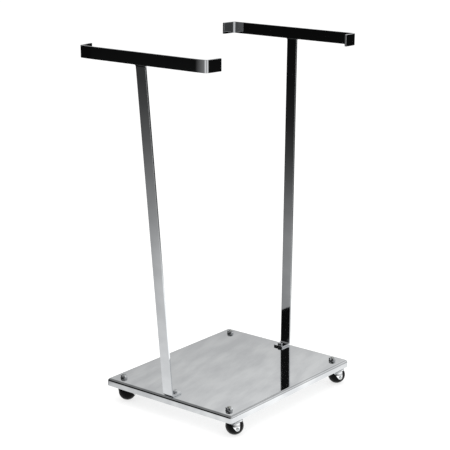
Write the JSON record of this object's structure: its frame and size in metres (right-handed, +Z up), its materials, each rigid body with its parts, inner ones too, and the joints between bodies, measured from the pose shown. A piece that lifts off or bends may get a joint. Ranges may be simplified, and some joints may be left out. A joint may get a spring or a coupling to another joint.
{
  "type": "valet stand",
  "caption": "Free-standing valet stand: a steel tray on swivelling ball casters carries upright flat-bar stands, each topped by a short bar with turned-in ends.",
  "frame": {"origin": "on the floor under the middle of the whole object's bounding box, with the casters standing on z = 0", "axes": "+Z up; +X along the hanging bars, to the right as seen from the front; +Y from the front stand, which leans out more, to the rear stand"},
  "size_m": [0.44, 0.6366, 1.0023],
  "materials": {
    "polished_steel_sheet": "polished sheet with faint cloudy buffing marks",
    "chromed_flat_bar": "bright chrome plate on drawn flat bar",
    "chromed_fastener": "bright chrome plate",
    "chromed_hood": "bright chrome plate on pressed steel",
    "zinc_plated_steel": "satin zinc plate",
    "black_nylon": "moulded, satin, lightly scuffed on the tread",
    "natural_nylon": "moulded, satin"
  },
  "bodies": {
    "frame": {"base_tray": "polished_steel_sheet", "front_post": "chromed_flat_bar", "front_hanging_bar": "chromed_flat_bar", "front_post_bolt": "chromed_fastener", "front_post_washer": "zinc_plated_steel", "front_post_nut": "zinc_plated_steel", "rear_post": "chromed_flat_bar", "rear_hanging_bar": "chromed_flat_bar", "rear_post_bolt": "chromed_fastener", "rear_post_washer": "zinc_plated_steel", "rear_post_nut": "zinc_plated_steel", "front_left_stem": "zinc_plated_steel", "front_left_stem_washer": "chromed_fastener", "front_left_stem_nut": "chromed_fastener", "front_right_stem": "zinc_plated_steel", "front_right_stem_washer": "chromed_fastener", "front_right_stem_nut": "chromed_fastener", "rear_right_stem": "zinc_plated_steel", "rear_right_stem_washer": "chromed_fastener", "rear_right_stem_nut": "chromed_fastener", "rear_left_stem": "zinc_plated_steel", "rear_left_stem_washer": "chromed_fastener", "rear_left_stem_nut": "chromed_fastener"},
    "front_left_fork": {"front_left_hood": "chromed_hood", "front_left_axle": "zinc_plated_steel"},
    "front_left_wheel": {"front_left_ball_wheel": "black_nylon", "front_left_wheel_bush": "natural_nylon"},
    "front_right_fork": {"front_right_hood": "chromed_hood", "front_right_axle": "zinc_plated_steel"},
    "front_right_wheel": {"front_right_ball_wheel": "black_nylon", "front_right_wheel_bush": "natural_nylon"},
    "rear_right_fork": {"rear_right_hood": "chromed_hood", "rear_right_axle": "zinc_plated_steel"},
    "rear_right_wheel": {"rear_right_ball_wheel": "black_nylon", "rear_right_wheel_bush": "natural_nylon"},
    "rear_left_fork": {"rear_left_hood": "chromed_hood", "rear_left_axle": "zinc_plated_steel"},
    "rear_left_wheel": {"rear_left_ball_wheel": "black_nylon", "rear_left_wheel_bush": "natural_nylon"}
  },
  "joints": [
    {"name": "front_left_swivel", "type": "hinge", "parent": "frame", "child": "front_left_fork", "pos_m": [-0.186, -0.20001, 0.0242], "axis": [0, 0, 1], "continuous": true},
    {"name": "front_left_spin", "type": "hinge", "parent": "front_left_fork", "child": "front_left_wheel", "pos_m": [-0.18809, -0.18516, 0.0242], "axis": [-0.9903, -0.1392, 0], "continuous": true},
    {"name": "front_right_swivel", "type": "hinge", "parent": "frame", "child": "front_right_fork", "pos_m": [0.186, -0.20001, 0.0242], "axis": [0, 0, 1], "continuous": true},
    {"name": "front_right_spin", "type": "hinge", "parent": "front_right_fork", "child": "front_right_wheel", "pos_m": [0.19439, -0.18758, 0.0242], "axis": [-0.829, 0.5592, 0], "continuous": true},
    {"name": "rear_right_swivel", "type": "hinge", "parent": "frame", "child": "rear_right_fork", "pos_m": [0.186, 0.27199, 0.0242], "axis": [0, 0, 1], "continuous": true},
    {"name": "rear_right_spin", "type": "hinge", "parent": "rear_right_fork", "child": "rear_right_wheel", "pos_m": [0.19395, 0.28471, 0.0242], "axis": [-0.848, 0.5299, 0], "continuous": true},
    {"name": "rear_left_swivel", "type": "hinge", "parent": "frame", "child": "rear_left_fork", "pos_m": [-0.186, 0.27199, 0.0242], "axis": [0, 0, 1], "continuous": true},
    {"name": "rear_left_spin", "type": "hinge", "parent": "rear_left_fork", "child": "rear_left_wheel", "pos_m": [-0.17942, 0.28547, 0.0242], "axis": [-0.8988, 0.4384, 0], "continuous": true}
  ]
}
